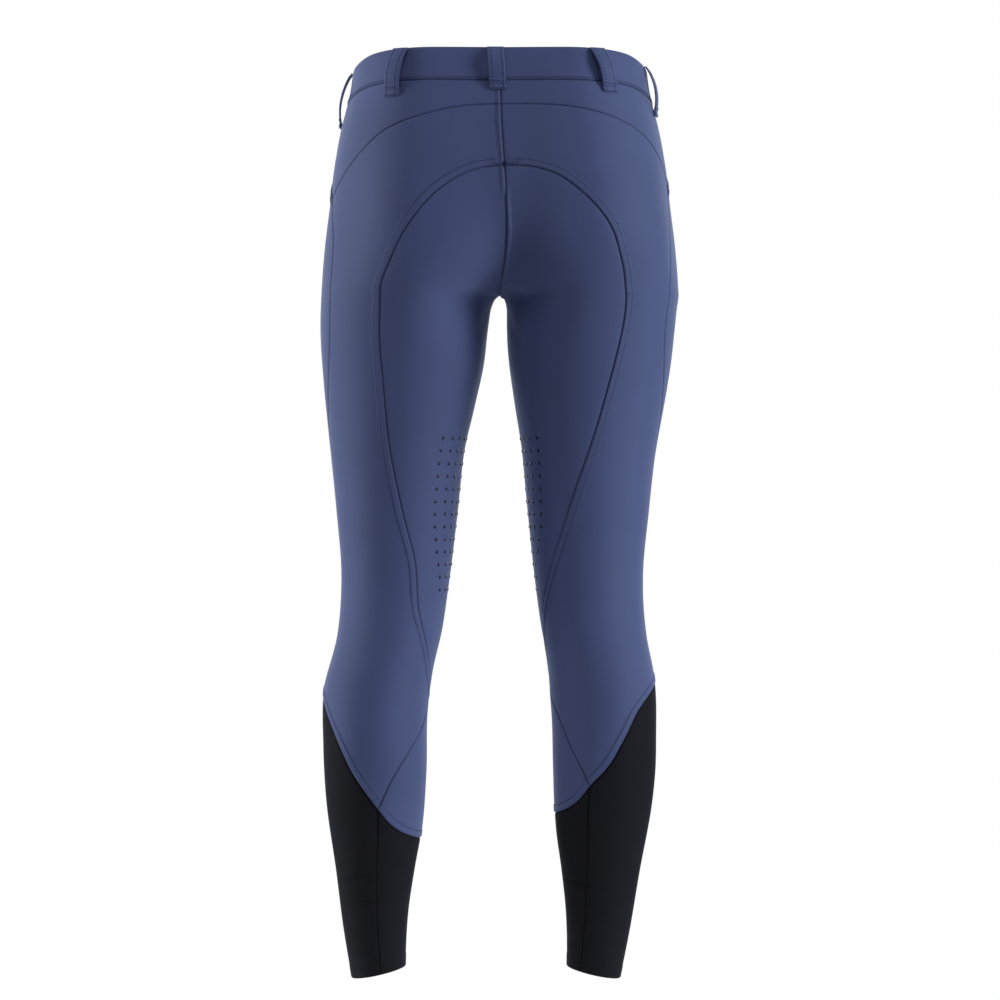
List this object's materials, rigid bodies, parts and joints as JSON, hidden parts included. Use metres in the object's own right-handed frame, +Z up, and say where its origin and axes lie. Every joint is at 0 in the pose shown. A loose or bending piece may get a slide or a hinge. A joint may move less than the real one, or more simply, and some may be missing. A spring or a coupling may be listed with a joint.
{
  "type": "riding breeches",
  "caption": "Close riding breeches in worn form with no wearer: shaped leg panels, low waistband with belt loops, arched seat seam and stretch ankle cuffs.",
  "frame": {"origin": "middle of the waist, level with the bottom edge of the waistband at the middle back", "axes": "+Z up along the body, -Y the way the wearer faces, +X the wearer's left"},
  "size_m": [0.3689, 0.2406, 0.9442],
  "materials": {
    "main_cloth": "matt stretch technical cloth in dusty navy blue, with a soft sheen",
    "cuff_knit": "fine stretch knit, near black",
    "button_metal": "dark nickel, satin",
    "thread": "twisted sewing thread, a shade off the cloth",
    "grip_silicone": "printed silicone dots, glossy"
  },
  "bodies": {
    "root": {"waistband_left": "main_cloth", "yoke_left": "main_cloth", "pocket_bearer_left": "main_cloth", "front_panel_left": "main_cloth", "back_panel_left": "main_cloth", "seat_panel_left": "main_cloth", "waistband_right": "main_cloth", "yoke_right": "main_cloth", "pocket_bearer_right": "main_cloth", "front_panel_right": "main_cloth", "back_panel_right": "main_cloth", "seat_panel_right": "main_cloth", "loop_back": "main_cloth", "loop_back_left": "main_cloth", "loop_back_right": "main_cloth", "loop_side_left": "main_cloth", "loop_side_right": "main_cloth", "loop_front_left": "main_cloth", "loop_front_right": "main_cloth", "cuff_left": "cuff_knit", "cuff_right": "cuff_knit", "waist_button": "button_metal"}
  },
  "joints": []
}
